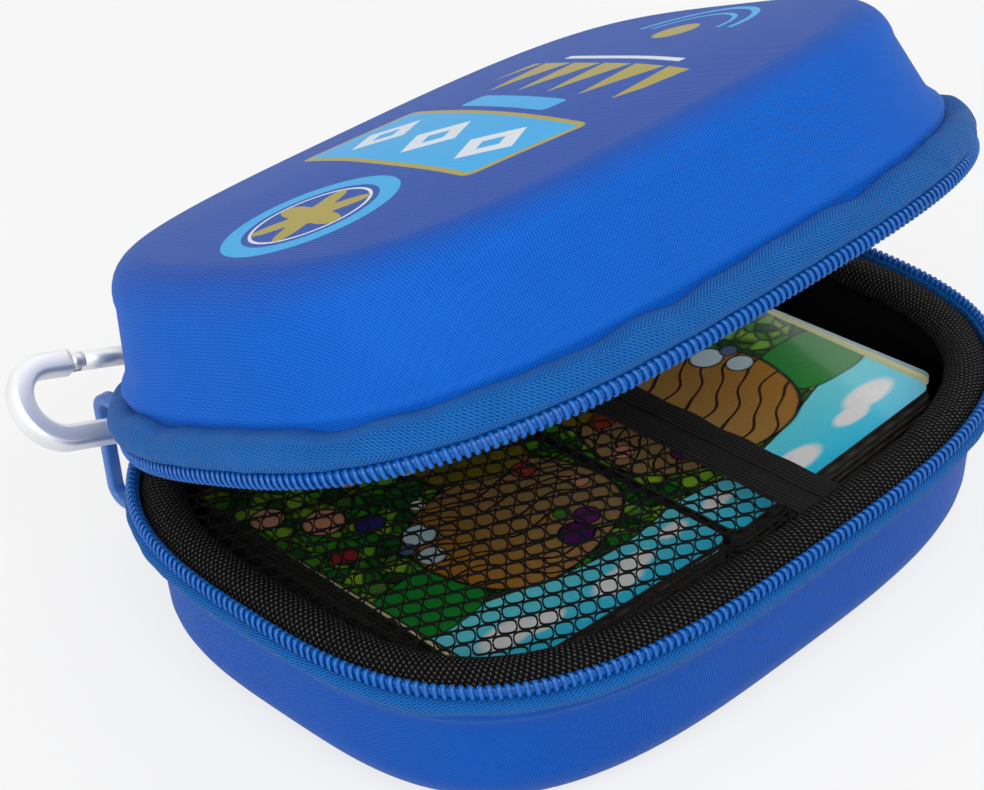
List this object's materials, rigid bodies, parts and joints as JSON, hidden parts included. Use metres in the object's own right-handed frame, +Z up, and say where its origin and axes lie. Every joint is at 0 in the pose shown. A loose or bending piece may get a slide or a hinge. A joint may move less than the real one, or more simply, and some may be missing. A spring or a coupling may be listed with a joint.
{
  "type": "zipped card case",
  "caption": "Hard-shell zipped case hinged along its back, holding two decks of cards under a net pocket, with a carry ring and a snap hook at a rear corner.",
  "frame": {"origin": "middle of the base's flat underside, where the case stands", "axes": "+X along the hinge, away from the carry ring; +Y from the open front to the hinged back; +Z up"},
  "size_m": [0.1786, 0.1565, 0.1137],
  "materials": {
    "shell_fabric": "fine knit over moulded foam, matt",
    "zip_tape": "herringbone woven tape, matt",
    "zip_coil": "dyed nylon coil, satin",
    "moulded_blue": "gloss",
    "lining": "napped knit, matt",
    "binding": "coarse woven tape, matt",
    "net": "knitted mesh, matt",
    "metal": "polished",
    "spring_steel": "plain wire",
    "card_picture": "printed and varnished",
    "card_yellow": "printed and varnished",
    "card_blue": "printed and varnished",
    "card_edges": "cut edges"
  },
  "bodies": {
    "base": {"base_shell": "shell_fabric", "base_lining": "lining", "base_rim_binding": "binding", "base_zip_tape": "zip_tape", "base_zip_coil": "zip_coil", "base_hinge_strip": "zip_tape", "left_card_picture": "card_picture", "left_card_yellow": "card_yellow", "left_card_blue": "card_blue", "left_card_stack": "card_edges", "right_card_picture": "card_picture", "right_card_yellow": "card_yellow", "right_card_blue": "card_blue", "right_card_stack": "card_edges", "pocket_net": "net", "net_hem_band": "net", "ring_tab": "zip_tape"},
    "lid": {"lid_shell": "shell_fabric", "lid_lining": "lining", "lid_rim_binding": "binding", "lid_zip_tape": "zip_tape", "lid_zip_coil": "zip_coil", "lid_hinge_strip": "zip_tape"},
    "ring": {"carry_ring": "moulded_blue"},
    "hook": {"hook_body": "metal", "gate_rivet": "metal"},
    "gate": {"hook_gate": "metal", "gate_spring": "spring_steel"},
    "slider": {"zip_slider": "moulded_blue"},
    "pull": {"slider_pull": "moulded_blue"}
  },
  "joints": [
    {"name": "lid_hinge", "type": "hinge", "parent": "base", "child": "lid", "pos_m": [0, 0.069, 0.0374], "axis": [-1, 0, 0], "range_deg": [-20.8, 39.2]},
    {"name": "ring_swing", "type": "hinge", "parent": "base", "child": "ring", "pos_m": [-0.0605, 0.0646, 0.0225], "axis": [0, 0, 1], "range_deg": [0, 20]},
    {"name": "hook_rock", "type": "hinge", "parent": "ring", "child": "hook", "pos_m": [-0.0605, 0.0767, 0.0355], "axis": [0, 1, 0], "range_deg": [-8, 8]},
    {"name": "gate_press", "type": "hinge", "parent": "hook", "child": "gate", "pos_m": [-0.04535, 0.08339, 0.03665], "axis": [0.2419, -0.6691, 0.7027], "range_deg": [0, 18], "stiffness_Nm_per_rad": 0.02, "springref_deg": -9.74},
    {"name": "slider_travel", "type": "slide", "parent": "base", "child": "slider", "axis": [0.9821, -0.1886, 0], "range_m": [0, 0.004]},
    {"name": "pull_swing", "type": "hinge", "parent": "slider", "child": "pull", "pos_m": [0.04411, 0.0704, 0.0366], "axis": [0.9821, -0.1886, 0], "range_deg": [0, 80]}
  ]
}
